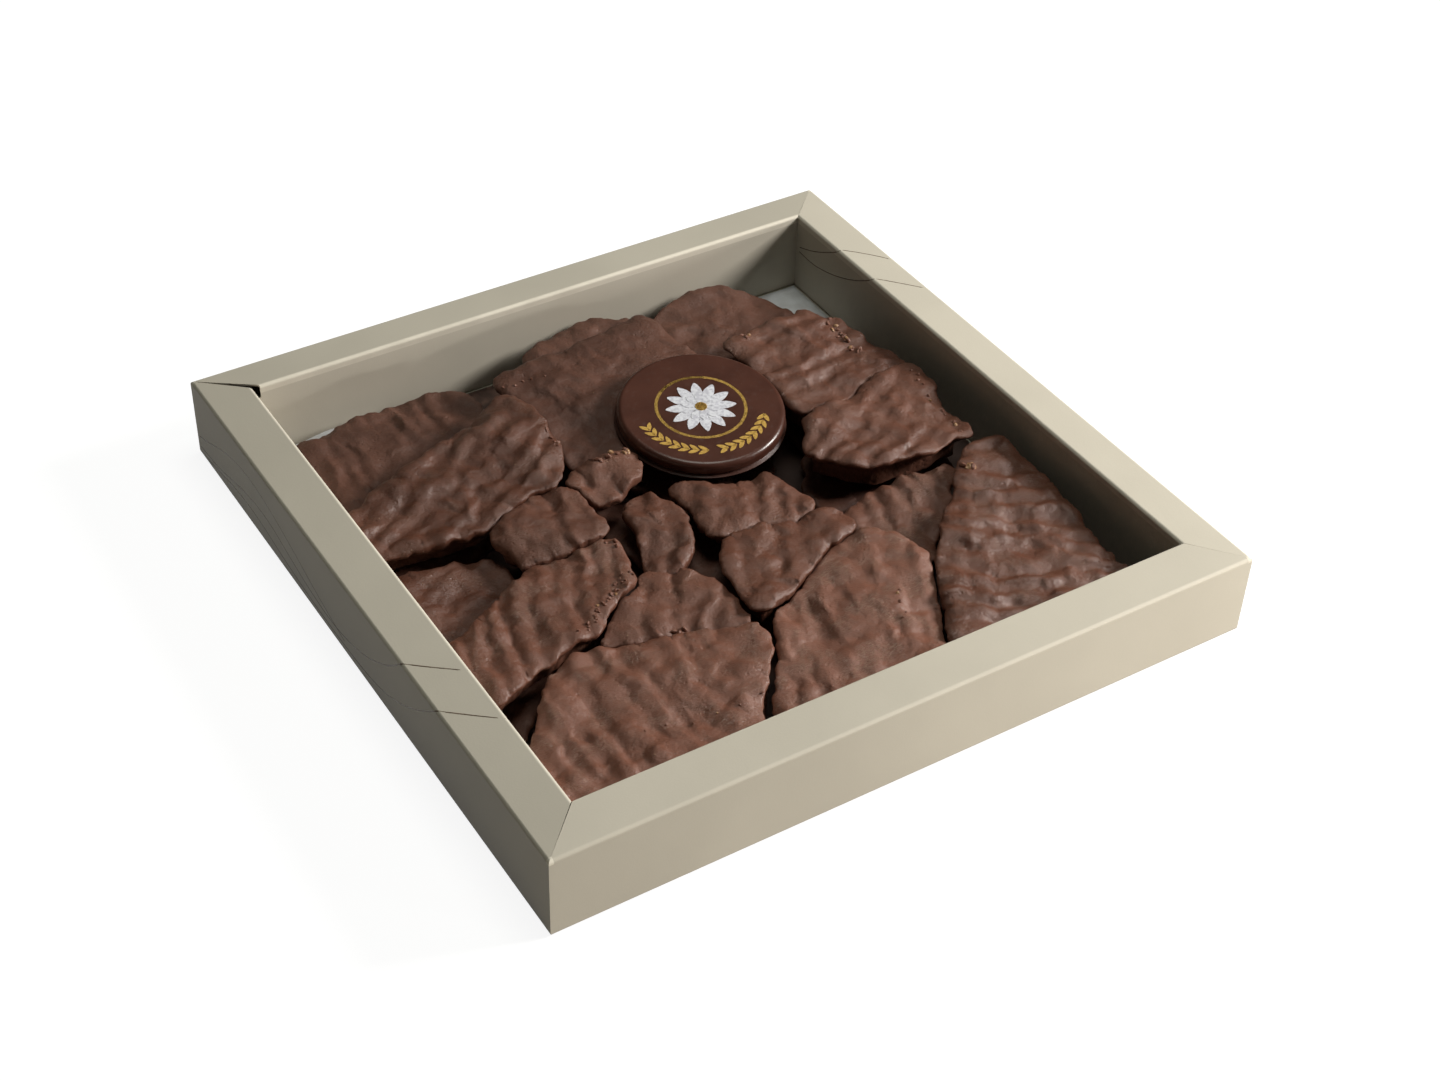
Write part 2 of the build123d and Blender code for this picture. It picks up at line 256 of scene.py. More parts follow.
bpy.context.scene.view_settings.view_transform = "Standard"
addCamera()
addLamps()
addFloor()
print("stage ready")


# board: lip is half the opening's width, and a painted highlight makes the creases paler where the
# board folds

carton = {
    "side": 200 * mm,
    "height": 24 * mm,
    "lip": 87.25 * mm,
    "lipRise": 1.3 * mm,
    "top": 25.2 * mm,
    "topDepth": 1.1 * mm,
    "colour": (0.50, 0.465, 0.39),
    "light": (0.57, 0.53, 0.445),
    # the pale colour and the strengths below paint a highlight along the outer and lip folds; the
    # outer corners of the top get the same pale colour
    "crease": (0.80, 0.75, 0.64),
    "creaseWidth": 0.75 * mm,
    "creaseInset": 0.35 * mm,
    "outerCrease": 0.1,
    "lipCrease": 0.75,
    "cornerNick": 1.3 * mm,
    "roughness": 0.45,
    "grainDepth": 0.03 * mm,
}


def boardMaterial():
    shader = Shader("pearlBoard")
    x, y, z = shader.axes()
    half, width, inset = carton["side"] / 2, carton["creaseWidth"], carton["creaseInset"]
    out = abs(x).most(abs(y))
    top = z > carton["height"] - carton["topDepth"]
    # painted highlight: paler along the outer fold and the lip fold; the outer corners of the top
    # get the same pale colour, and noise breaks it up
    outer = abs(out - half + inset).fade(width, 0.25 * width) * top * carton["outerCrease"]
    lip = abs(out - carton["lip"] - inset).fade(width, 0.25 * width) * top * carton["lipCrease"]
    corner = (abs(x).least(abs(y)) > half - carton["cornerNick"]) * top
    highlightBreakup = shader.noise(9 * mm, 4).fade(0.30, 0.62)
    crease = outer.most(lip).most(corner) * (highlightBreakup * 0.4 + 0.6)
    cloudy = shader.noise(45 * mm, 2)
    fibre = shader.noise(0.35 * mm, 3)
    blotches = cloudy.fade(0.3, 0.7) * 0.6 + fibre * 0.3
    base = shader.mixed(blotches, carton["colour"], carton["light"])
    colour = shader.mixed(crease * 0.75, base, carton["crease"])
    grain = shader.noise(0.5 * mm, 3) + shader.noise(6 * mm, 2) * 2
    return shader.finish({
        "Base Color": colour,
        "Roughness": fibre * 0.15 + carton["roughness"],
        "Specular IOR Level": 0.2,
        "Normal": shader.bumped(grain, carton["grainDepth"], 0.6),
    })


def dress(names, material):
    for name in names:
        mesh = nodes[name].data
        mesh.materials.clear()
        mesh.materials.append(material)


boardNodes = ["base_panel", "wall_front", "wall_right", "wall_back", "wall_left"]
dress(boardNodes, boardMaterial())
print("board ready")


# modelling helpers

mergeDistance = 0.005 * mm


def alone(piece):
    bpy.ops.object.select_all(action="DESELECT")
    piece.select_set(True)
    bpy.context.view_layer.objects.active = piece


def applied(piece, kind, **settings):
    alone(piece)
    modifier = piece.modifiers.new(kind.lower(), kind)
    for key, value in settings.items():
        setattr(modifier, key, value)
    bpy.ops.object.modifier_apply(modifier=modifier.name)


def smoothed(piece, rounds, **settings):
    applied(piece, "SMOOTH", factor=0.5, iterations=rounds, **settings)


def texture(kind, **settings):
    made = bpy.data.textures.new(kind.lower(), kind)
    for key, value in settings.items():
        setattr(made, key, value)
    return made


def guide(place, turn, scale):
    bpy.ops.object.empty_add(location=place, rotation=(0, 0, math.radians(turn)))
    empty = bpy.context.object
    empty.scale = scale
    bpy.context.view_layer.update()
    return empty


def displaced(piece, pattern, strength, along=None, **settings):
    if along:
        settings.update(texture_coords="OBJECT", texture_coords_object=along)
    applied(piece, "DISPLACE", texture=pattern, strength=strength, **settings)
    bpy.data.textures.remove(pattern)
    if along:
        bpy.data.objects.remove(along)


def copied(node, name):
    alone(nodes[node])
    bpy.ops.object.duplicate()
    piece = bpy.context.object
    piece.name = name
    piece.data.materials.clear()
    alone(piece)
    bpy.ops.object.mode_set(mode="EDIT")
    bpy.ops.mesh.select_all(action="SELECT")
    bpy.ops.mesh.remove_doubles(threshold=mergeDistance)
    bpy.ops.object.mode_set(mode="OBJECT")
    return piece


def repeated(shape, places):
    copies = []
    for place in places:
        copy = shape.copy()
        copy.data = shape.data.copy()
        copy.data.transform(place)
        bpy.context.collection.objects.link(copy)
        copies.append(copy)
    bpy.data.objects.remove(shape)
    alone(copies[0])
    for copy in copies:
        copy.select_set(True)
    if len(copies) > 1:
        bpy.ops.object.join()


# how the medallion leans: the bark below and beside it keeps clear of it

discPose = {"lean": 5.2, "heading": 80.0}


def discFrame():
    mesh = nodes["medallion"].data
    level = Matrix.Rotation(math.radians(discPose["heading"]), 3, "Z") @ Vector((0, -1, 0))
    turn = Matrix.Rotation(math.radians(discPose["lean"]), 3, level)
    up = turn @ Vector((0, 0, 1))
    heights = [vertex.co.dot(up) for vertex in mesh.vertices]
    low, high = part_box("medallion")
    middle = (Vector(low) + Vector(high)) / 2
    centre = middle - up * middle.dot(up)
    radius = max((vertex.co - middle).cross(up).length for vertex in mesh.vertices)
    return turn, centre, up, min(heights), max(heights), radius


# bark: thin slabs, each a copy of its shape in the frame, remeshed and rippled

barkLook = {
    "voxel": 0.7 * mm,
    "topSlope": 0.8,  # the least upward share of a face of the top
    "flatten": 16,  # smoothing rounds: heights alone, then all over, then the sides, twice
    "soften": 4,
    "undercut": 90,
    "settle": 8,
    "sideDepths": (1.0 * mm, 3.5 * mm),  # below the top, where the sides begin and are full
    "keelDepths": (1.0 * mm, 4.0 * mm),
    "growthFacing": (0.25, 0.7),  # how far a side looks sideways before it spreads
    "growthDepths": (2.0 * mm, 5.0 * mm),
    "growthSearch": (8 * mm, 16 * mm),  # rays to the slab's own edge and to its neighbour's
    "reliefHeights": (0.8 * mm, 3.5 * mm),  # above the slab's underside
    "bands": {"noise_scale": 1.5, "turbulence": 6.5},
    "bandPitch": 0.628,  # the texture's own pitch, turn and stretch
    "bandTurn": 90 + 22,
    "bandStretch": (1, 2.5, 60),
    "knobWidth": 6 * mm,
    "ruggedWidth": 3.2 * mm,
    "warps": [(4.0 * mm, 17 * mm), (2.0 * mm, 6 * mm), (0.8 * mm, 2.4 * mm)],  # depth, width
    "warpHeight": 100,
    "lumps": [(3.6 * mm, 15 * mm), (1.4 * mm, 7 * mm), (0.25 * mm, 2.8 * mm)],
    "lowerLumps": 0.5,
    "grain": (0.14 * mm, 1.5 * mm),
    "wallGap": 0.25 * mm,
    "medallionGap": 0.15 * mm,
    "slabGap": 0.3 * mm,
    "level": 10 * mm,
}

# What a slab has unless its own line says otherwise. In mm: ripple pitch and depth, knob depth,
# sideways growth, raggedness and inward slope of the sides. Then the tone between dark and milk,
# which is partly painted light: the front slabs are set lighter as if lit more strongly. Then the
# roughness and the share of scuffs and painted highlight lines.
plainSlab = {
    "heading": 40, "pitch": 6.0, "ripple": 0.4, "knob": 0.2, "growth": 1.6, "rugged": 0.42,
    "keel": 1.0, "tone": 0.4, "gloss": 0.40, "scraped": 0.3,
}
bark = {
    "bark_back_left": {
        "heading": 88, "pitch": 6.5, "ripple": 0.35, "tone": 0.0, "gloss": 0.50, "scraped": 0.1,
    },
    "bark_left_rear": {
        "heading": 34, "pitch": 7.5, "ripple": 0.5, "knob": 1.2, "keel": 2.0, "tone": 0.18,
        "gloss": 0.34,
    },
    "bark_back_mound": {
        "heading": 20, "pitch": 9, "ripple": 0.2, "tone": 0.1, "gloss": 0.46, "scraped": 0.1,
    },
    "bark_back_slab": {
        "heading": 20, "pitch": 11, "ripple": 0.2, "tone": 0.0, "gloss": 0.48, "scraped": 0.1,
    },
    "bark_back_right": {"pitch": 9, "ripple": 0.2, "tone": 0.15, "gloss": 0.46, "scraped": 0.1},
    "bark_right_rear": {
        "heading": 12, "pitch": 8, "ripple": 0.4, "knob": 0.8, "rugged": 0.7, "keel": 2.0,
        "tone": 0.3,
    },
    "bark_right_middle": {
        "heading": 30, "pitch": 6.5, "ripple": 0.4, "knob": 0.4, "keel": 3.0, "tone": 0.4,
    },
    "bark_right_wedge": {"heading": 80, "pitch": 5.5, "ripple": 0.35, "tone": 0.45, "scraped": 0.8},
    "bark_centre": {"heading": 60, "pitch": 7, "growth": 1.8, "rugged": 0.5, "tone": 0.45},
    "bark_centre_front": {
        "heading": 66, "pitch": 7.5, "ripple": 0.42, "knob": 0.6, "growth": 2.0, "keel": 2.0,
        "tone": 0.4, "gloss": 0.32,
    },
    "bark_left_middle": {"heading": 25, "knob": 0.5, "tone": 0.1, "gloss": 0.38},
    "bark_left_front": {
        "heading": 74, "pitch": 6.2, "ripple": 0.6, "knob": 0.5, "keel": 1.6, "tone": 0.6,
        "gloss": 0.31, "scraped": 0.8,
    },
    "bark_left_knob": {"heading": 80, "pitch": 7, "growth": 2.0, "rugged": 0.7, "tone": 0.3},
    "bark_small_chunk": {
        "heading": 70, "knob": 1.4, "growth": 3.5, "rugged": 1.2, "tone": 0.5, "gloss": 0.42,
    },
    "bark_sliver": {
        "heading": 62, "pitch": 7, "knob": 0.6, "growth": 1.0, "rugged": 0.8, "tone": 0.35,
    },
    "bark_front_left": {
        "heading": 94, "pitch": 7.4, "ripple": 0.5, "knob": 0.8, "tone": 0.9, "gloss": 0.32,
        "scraped": 0.9,
    },
    "bark_front_left_rear": {"heading": 55, "pitch": 7, "ripple": 0.5, "growth": 3.0, "tone": 0.55},
    "bark_front_centre": {
        "heading": 72, "pitch": 7.0, "ripple": 0.34, "knob": 0.6, "tone": 1.2, "gloss": 0.33,
        "scraped": 1.3,
    },
    "bark_front_right": {
        "heading": 150, "pitch": 7.4, "ripple": 0.75, "knob": 1.0, "rugged": 0.7, "tone": 0.34,
        "gloss": 0.30, "scraped": 0.5,
    },
}
underSlab = {"pitch": 8.0, "tone": 0.0, "gloss": 0.50, "scraped": 0.0}
besideMedallion = [
    "bark_right_rear", "bark_small_chunk", "bark_centre", "under_bark_centre", "under_bark_right",
]

chocolateLook = {
    "dark": (0.060, 0.0185, 0.0080),
    # the milk colour is partly a grey painted sheen laid over milk chocolate's own brown
    "milk": (0.190, 0.079, 0.050),
    "pale": (0.36, 0.235, 0.165),
    "speck": (0.42, 0.27, 0.17),
    "streakWidth": 0.9 * mm,
    "lineWidth": 1.6 * mm,
    "patchWidth": 15 * mm,
    "speckWidth": 3.4 * mm,
    "dimpleWidth": 1.9 * mm,
    "bumpDepth": 0.2 * mm,
}


def smooth(value, low, high):
    share = max(0, min(1, (value - low) / (high - low)))
    return share * share * (3 - 2 * share)


def chocolateMaterial(name, heading, tone, gloss, scraped):
    shader = Shader(name)
    look = chocolateLook
    turned = shader.stretched((0, 0, math.radians(-heading)), (1, 5, 1))
    streaks = shader.noise(look["streakWidth"], 4, turned)
    # thin pale lines drawn along the ripples: a painted highlight on the ridges
    drawn = shader.stretched((0, 0, math.radians(-heading - 3)), (1, 16, 1))
    lines = shader.noise(look["lineWidth"], 2, drawn).fade(0.56, 0.64)
    broad = shader.noise(look["patchWidth"], 4, distortion=0.5)
    body = shader.mixed(tone, look["dark"], look["milk"])
    base = shader.mixed(broad.fade(0.3, 0.7) * 0.35, body, look["milk"])
    area = shader.noise(8 * mm, 3).fade(0.46, 0.64)
    # real scuffed streaks and the painted highlight lines together, mixed toward the pale colour in
    # patches
    scuffsAndHighlightLines = (streaks.fade(0.50, 0.72) * 0.7).most(lines) * area * scraped
    worn = shader.mixed(scuffsAndHighlightLines * 0.5, base, look["pale"])
    bare = 1 - shader.cells(look["speckWidth"]).fade(0.03, 0.075)
    rare = shader.noise(9 * mm, 2).fade(0.50, 0.58)
    speckled = shader.mixed(bare * rare * 0.55, worn, look["speck"])
    fine = shader.noise(0.8 * mm, 4)
    uneven = shader.noise(2.6 * mm, 3)
    dimples = 1 - shader.cells(look["dimpleWidth"]).fade(0.12, 0.25)
    height = fine * 0.8 + streaks * 1.2 + uneven * 1.6 + bare * rare + scuffsAndHighlightLines * 0.6
    height = height - dimples * rare * 0.6
    roughness = shader.noise(3.5 * mm, 4).fade(0.3, 0.7) * 0.18 + gloss + scuffsAndHighlightLines * 0.12
    return shader.finish({
        "Base Color": speckled,
        "Roughness": roughness,
        "Specular IOR Level": 0.5,
        "Normal": shader.bumped(height, look["bumpDepth"], 0.75),
    })


def clearedOfDisc(piece, node):
    turn, centre, up, bottom, top, radius = discFrame()
    gap = barkLook["medallionGap"]
    for vertex in piece.data.vertices:
        height = vertex.co.dot(up)
        away = vertex.co - centre - up * height
        if away.length > radius + gap or height < bottom - gap:
            continue
        if node in besideMedallion:
            vertex.co += away.normalized() * (radius + gap - away.length)
        else:
            vertex.co.z -= (height - bottom + gap) / up.z


def topPlane(piece):
    total = Matrix(((0, 0, 0), (0, 0, 0), (0, 0, 0)))
    result = Vector((0, 0, 0))
    for polygon in piece.data.polygons:
        if polygon.normal.z > barkLook["topSlope"]:
            place = polygon.center
            row = Vector((1, place.x / mm, place.y / mm))
            for index in range(3):
                total[index] += row * row[index]
            result += row * (place.z / mm)
    level, alongX, alongY = total.inverted() @ result
    return lambda place: level * mm + alongX * place.x + alongY * place.y


def undercut(piece, keel):
    plane = topPlane(piece)
    group = piece.vertex_groups.new(name="under")
    for vertex in piece.data.vertices:
        depth = plane(vertex.co) - vertex.co.z
        group.add([vertex.index], smooth(depth, *barkLook["sideDepths"]), "REPLACE")
    smoothed(piece, barkLook["undercut"], vertex_group="under")
    # the normals are read first: each move would make Blender work them out again
    normals = [vertex.normal.copy() for vertex in piece.data.vertices]
    for vertex, normal in zip(piece.data.vertices, normals):
        inward = smooth(plane(vertex.co) - vertex.co.z, *barkLook["keelDepths"]) * keel
        vertex.co -= Vector((normal.x, normal.y, 0)) * inward
    smoothed(piece, barkLook["settle"], vertex_group="under")


def tree(names):
    places, faces = [], []
    for name in names:
        mesh = nodes[name].data
        first = len(places)
        places += [vertex.co.copy() for vertex in mesh.vertices]
        faces += [[first + corner for corner in polygon.vertices] for polygon in mesh.polygons]
    return BVHTree.FromPolygons(places, faces)


def spread(piece, node, reach):
    own, others = tree([node]), tree([name for name in bark if name != node])
    ownSearch, otherSearch = barkLook["growthSearch"]
    plane = topPlane(piece)
    normals = [vertex.normal.copy() for vertex in piece.data.vertices]
    for vertex, normal in zip(piece.data.vertices, normals):
        out = Vector((normal.x, normal.y, 0))
        share = smooth(out.length, *barkLook["growthFacing"])
        share *= 1 - smooth(plane(vertex.co) - vertex.co.z, *barkLook["growthDepths"])
        if share == 0:
            continue
        out.normalize()
        start = Vector((vertex.co.x, vertex.co.y, barkLook["level"]))
        toEdge = own.ray_cast(start, out, ownSearch)[3] or 0
        toOther = others.ray_cast(start, out, otherSearch)[3]
        room = reach if toOther is None else (toEdge + toOther - barkLook["slabGap"]) / 2
        vertex.co += out * share * max(0, min(reach, room))
    smoothed(piece, 2)


def keptInside(piece):
    limit = carton["lip"] - barkLook["wallGap"]
    for vertex in piece.data.vertices:
        for axis in (0, 1):
            vertex.co[axis] = max(-limit, min(limit, vertex.co[axis]))


# the pattern moves the top up and down; the top of a lower slab is only lowered
def relief(piece, centre, look, lower):
    above = {"vertex_group": "upper", "mid_level": 1.0 if lower else 0.5, "direction": "Z"}
    across = look["pitch"] * mm / barkLook["bandPitch"]
    stretch = [across * share for share in barkLook["bandStretch"]]
    along = guide(centre, look["heading"] - barkLook["bandTurn"], stretch)
    pattern = texture("WOOD", wood_type="BANDNOISE", **barkLook["bands"])
    displaced(piece, pattern, look["ripple"] * mm, along, **above)
    pattern = texture("VORONOI", noise_scale=barkLook["knobWidth"])
    displaced(piece, pattern, -look["knob"] * mm, **above)
    share = barkLook["lowerLumps"] if lower else 1.0
    for depth, width in barkLook["lumps"]:
        pattern = texture("CLOUDS", noise_scale=width, noise_depth=1)
        displaced(piece, pattern, depth * share, **above)
    for depth, width in (barkLook["grain"], (look["rugged"] * mm, barkLook["ruggedWidth"])):
        pattern = texture("CLOUDS", noise_scale=width, noise_depth=2)
        displaced(piece, pattern, depth, vertex_group="upper")


# one field for all slabs, the same at every height, so that neighbours keep their gaps
def warped(piece):
    for depth, width in barkLook["warps"]:
        for axis, place in (("X", (0, 0, 0)), ("Y", (0.3, 0.2, 0))):
            along = guide(place, 0, (width, width, barkLook["warpHeight"]))
            pattern = texture("CLOUDS", noise_scale=1, noise_depth=1)
            displaced(piece, pattern, depth, along, direction=axis)


def barkPiece(node, changes):
    look = {**plainSlab, **changes}
    lower = node.startswith("under")
    piece = copied(node, node.replace("bark_", "bark.") + ".enrobed")
    applied(piece, "REMESH", mode="VOXEL", voxel_size=barkLook["voxel"])
    smoothed(piece, barkLook["flatten"], use_x=False, use_y=False)
    smoothed(piece, barkLook["soften"])
    undercut(piece, look["keel"] * mm)
    low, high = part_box(node)
    start, full = barkLook["reliefHeights"]
    upper = piece.vertex_groups.new(name="upper")
    for vertex in piece.data.vertices:
        upper.add([vertex.index], smooth(vertex.co.z, low[2] + start, low[2] + full), "REPLACE")
    if not lower:
        spread(piece, node, look["growth"] * mm)
    centre = (Vector(low) + Vector(high)) / 2
    relief(piece, centre, look, lower)
    warped(piece)
    clearedOfDisc(piece, node)
    keptInside(piece)
    bpy.ops.object.shade_smooth()
    material = chocolateMaterial(
        node + "_chocolate", look["heading"], look["tone"], look["gloss"], look["scraped"]
    )
    piece.data.materials.append(material)
    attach(piece, node)
    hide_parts(node)
    return piece


slabs = {node: barkPiece(node, look) for node, look in bark.items()}
print("top bark ready")

for node in nodes:
    if node.startswith("under_bark"):
        barkPiece(node, underSlab)
print("lower bark ready")


# crumbs in rows along broken edges: slab, first and last place in mm, count, size in mm and
# share of nut
crumbRows = [
    ("bark_front_right", (64.3, -27.2), (66.4, -29.4), 4, 1.9, 0.7),
    ("bark_right_rear", (70.6, 46.0), (70.8, 29.5), 18, 1.1, 0.15),
    ("bark_right_middle", (78.0, 17.0), (72.5, -17.0), 11, 1.0, 0.15),
    ("bark_right_rear", (43.6, 54.3), (45.6, 48.5), 6, 1.1, 0.3),
    ("bark_small_chunk", (-14.5, 23.0), (-8.5, 22.5), 7, 1.3, 0.45),
    ("bark_small_chunk", (-20.0, 22.0), (-14.0, 21.0), 5, 1.2, 0.1),
    ("bark_left_front", (-31.5, -6.5), (-29.5, -9.5), 4, 1.1, 0.5),
    ("bark_left_front", (-32.0, -18.5), (-55.0, -34.0), 30, 0.8, 0.15),
    ("bark_left_rear", (-23.5, 41.0), (-26.5, 25.5), 8, 0.8, 0.2),
    ("bark_front_centre", (22.0, -57.0), (16.0, -70.0), 5, 0.8, 0.2),
    ("bark_front_left_rear", (-33.5, -41.0), (-31.5, -44.0), 3, 1.4, 0.0),
    ("bark_front_left", (-62.0, -70.0), (-20.0, -75.0), 7, 0.6, 0.3),
    ("bark_back_slab", (-28.5, 66.5), (-12.0, 61.5), 6, 0.8, 0.3),
]
crumbLook = {
    "seed": 11,
    "scatter": 1.2 * mm,
    "growth": (0.7, 1.5),
    "lump": 0.5,  # in shares of the crumb's size
    "nut": (0.27, 0.13, 0.06),
    "nutPale": (0.42, 0.25, 0.13),
}


def nutMaterial():
    shader = Shader("nutCrumb")
    tone = shader.noise(0.7 * mm, 3).fade(0.35, 0.65)
    return shader.finish({
        "Base Color": shader.mixed(tone, crumbLook["nut"], crumbLook["nutPale"]),
        "Roughness": tone * 0.2 + 0.32,
        "Normal": shader.bumped(shader.noise(0.4 * mm, 3), 0.08 * mm, 0.7),
    })


def crumbShape():
    bpy.ops.mesh.primitive_ico_sphere_add(subdivisions=2, radius=0.5)
    crumb = bpy.context.object
    displaced(crumb, texture("CLOUDS", noise_scale=0.6, noise_depth=1), crumbLook["lump"])
    bpy.ops.object.shade_flat()
    return crumb


def addCrumbs():
    dice = random.Random(crumbLook["seed"])
    materials = {
        "nut": nutMaterial(),
        "chip": chocolateMaterial("chocolateCrumb", heading=0, tone=0.9, gloss=0.36, scraped=0.3),
    }
    for row, (node, first, last, count, size, nuts) in enumerate(crumbRows):
        places = {"nut": [], "chip": []}
        for index in range(count):
            share = (index + 0.5) / count
            spot = Vector(first).lerp(Vector(last), share) * mm
            spot += Vector((dice.uniform(-1, 1), dice.uniform(-1, 1))) * crumbLook["scatter"]
            kind = "nut" if dice.random() < nuts else "chip"
            turn = Euler([dice.uniform(0, math.tau) for axis in range(3)]).to_matrix().to_4x4()
            grown = [size * mm * dice.uniform(*crumbLook["growth"]) for axis in range(3)]
            hit, place, normal, face = slabs[node].ray_cast((*spot, 100 * mm), (0, 0, -1))
            if hit and normal.z > 0.3:  # not on a steep side
                scale = Matrix.Diagonal((*grown, 1))
                places[kind].append(Matrix.Translation(place) @ turn @ scale)
        for kind, moves in places.items():
            if not moves:
                continue
            repeated(crumbShape(), moves)
            crumbs = bpy.context.object
            crumbs.name = "crumbs_" + str(row + 1) + "_" + kind
            crumbs.data.materials.append(materials[kind])
            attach(crumbs, node)


addCrumbs()
print("crumbs ready")


# paper under the slabs

paper = {
    "colour": (0.60, 0.61, 0.63),
    # the two dark browns below are painted shade for the paper in the shadow between and under the
    # slabs and along the right wall
    "smear": (0.035, 0.014, 0.009),
    "thinSmear": (0.115, 0.058, 0.040),
    "shaded": (0.50, 0.50, 0.51),
    "thickness": 0.06 * mm,
    "cuts": 110,
    "curl": 3.2 * mm,
    "curlFrom": (-44 * mm, 82.3 * mm),
    "curlTo": (-56 * mm, 86.4 * mm),
    "curlWave": 260,
}


def paperMaterial():
    shader = Shader("thinPaper")
    x, y, z = shader.axes()
    mottled = shader.noise(4 * mm, 4)
    edge = (shader.noise(8 * mm, 3) - 0.5) * 14 * mm
    # painted shade: the paper keeps its own colour only in the back-right corner and in a strip
    # along the back-left wall; everywhere else it is dark brown for the shadow under and between
    # the slabs
    corner = (x + edge).fade(58 * mm, 64 * mm) * (y + edge).fade(52 * mm, 60 * mm)
    strip = (x + edge).fade(-46 * mm, -52 * mm) * (y + edge).fade(75 * mm, 79 * mm)
    keepsOwnColour = corner.most(strip)
    colour = shader.mixed(mottled.fade(0.3, 0.7), paper["colour"], paper["shaded"])
    thin = shader.noise(14 * mm, 5, distortion=1.5).fade(0.48, 0.72)
    paintedShadeColour = shader.mixed(thin, paper["smear"], paper["thinSmear"])
    return shader.finish({
        "Base Color": shader.mixed(keepsOwnColour, paintedShadeColour, colour),
        "Roughness": mottled * 0.2 + 0.6,
        "Normal": shader.bumped(shader.noise(2.5 * mm, 4), 0.15 * mm, 0.7),
    })


def addPaper():
    low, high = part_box("liner_sheet")
    bpy.ops.mesh.primitive_grid_add(
        size=high[0] - low[0], location=(0, 0, low[2] + 0.05 * mm),
        x_subdivisions=paper["cuts"], y_subdivisions=paper["cuts"],
    )
    sheet = bpy.context.object
    sheet.name = "thin_paper_sheet"
    bpy.ops.object.transform_apply(location=True)
    (flatX, flatY), (curledX, curledY) = paper["curlFrom"], paper["curlTo"]
    for vertex in sheet.data.vertices:
        x, y, z = vertex.co
        curl = smooth(y, flatY, curledY) * smooth(x, flatX, curledX)
        vertex.co.z += paper["curl"] * curl * (0.8 + 0.2 * math.sin(x * paper["curlWave"]))
    applied(sheet, "SOLIDIFY", thickness=paper["thickness"], offset=0)
    bpy.ops.object.shade_smooth()
    sheet.data.materials.append(paperMaterial())
    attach(sheet, "liner_sheet")
    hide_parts("liner_sheet")


addPaper()
print("paper ready")


# fine lines printed on the board: thin tubes pressed flat, a little proud of it

printed = {
    "radius": 0.18 * mm,
    "proud": 0.012 * mm,
    "colour": (0.085, 0.055, 0.035),
    "worn": (0.16, 0.12, 0.085),
}

# places in mm: over the left top panel and down the outer face of the left wall, and on the right
# wall up the inner face and over the top panel
printedLines = {
    "left_front": [
        (-88, -57.6, 25.2), (-94.1, -52.0, 24.62), (-99.6, -46.6, 24.05), (-100, -45.7, 23.4),
        (-100, -35.7, 15.1), (-100, -24.7, 8.5), (-100, -12.5, 4.0), (-100, 2, 2.6),
        (-100, 22, 2.2), (-100, 42, 3.4), (-100, 60, 6.0), (-100, 76, 5.2), (-100, 90, 2.0),
        (-100, 98.5, 1.2),
    ],
    "left_middle": [
        (-88.0, -39.2, 25.2), (-94.8, -33.1, 24.55), (-99.6, -28.4, 24.05), (-100, -27.6, 23.4),
        (-100, -18.8, 15.6), (-100, -4.3, 8.0), (-100, 10.4, 4.6), (-100, 24.5, 5.0),
        (-100, 38.9, 7.6), (-100, 52, 10.6), (-100, 66.9, 9.4), (-100, 78.5, 6.0),
        (-100, 88.7, 3.6), (-100, 98.5, 3.0),
    ],
    "left_rear": [
        (-100, 6.0, 4.0), (-100, 20.0, 7.0), (-100, 34.0, 11.5), (-100, 48.0, 15.2),
        (-100, 60.0, 17.0), (-100, 71.0, 16.4), (-100, 83.4, 12.6), (-100, 92.0, 8.6),
        (-100, 98.5, 6.6),
    ],
    "right_rear": [
        (87.25, 85.5, 15.2), (87.25, 80.5, 16.8), (87.25, 74.4, 19.6), (87.25, 67.4, 23.6),
        (87.5, 65.6, 25.0), (88.6, 65.4, 25.15), (94.9, 60.2, 24.5), (99.6, 55.2, 24.05),
        (100, 54.2, 23.2),
    ],
    "right_middle": [
        (87.25, 85.5, 13.6), (87.25, 80.0, 13.2), (87.25, 74.9, 13.7), (87.25, 66.6, 15.8),
        (87.25, 57.6, 19.4), (87.25, 50.4, 23.6), (87.5, 48.6, 25.0), (88.6, 48.0, 25.15),
        (93.6, 43.6, 24.62), (99.6, 38.0, 24.05), (100, 37.2, 23.2),
    ],
}


def printMaterial():
    shader = Shader("printedLine")
    worn = shader.noise(1.5 * mm, 3).fade(0.35, 0.65)
    return shader.finish({
        "Base Color": shader.mixed(worn, printed["colour"], printed["worn"]),
        "Roughness": worn * 0.2 + 0.4,
        "Specular IOR Level": 0.2,
    })


def pressFlat(line):
    half, proud = carton["side"] / 2, printed["proud"]
    slope = carton["lipRise"] / (half - carton["lip"])
    for vertex in line.data.vertices:
        x, y, z = vertex.co
        out = max(carton["lip"] - proud, min(half + proud, abs(x)))
        roof = carton["height"] + slope * (half - max(out, carton["lip"])) + proud
        vertex.co = (math.copysign(out, x), y, min(z, roof, carton["top"]))


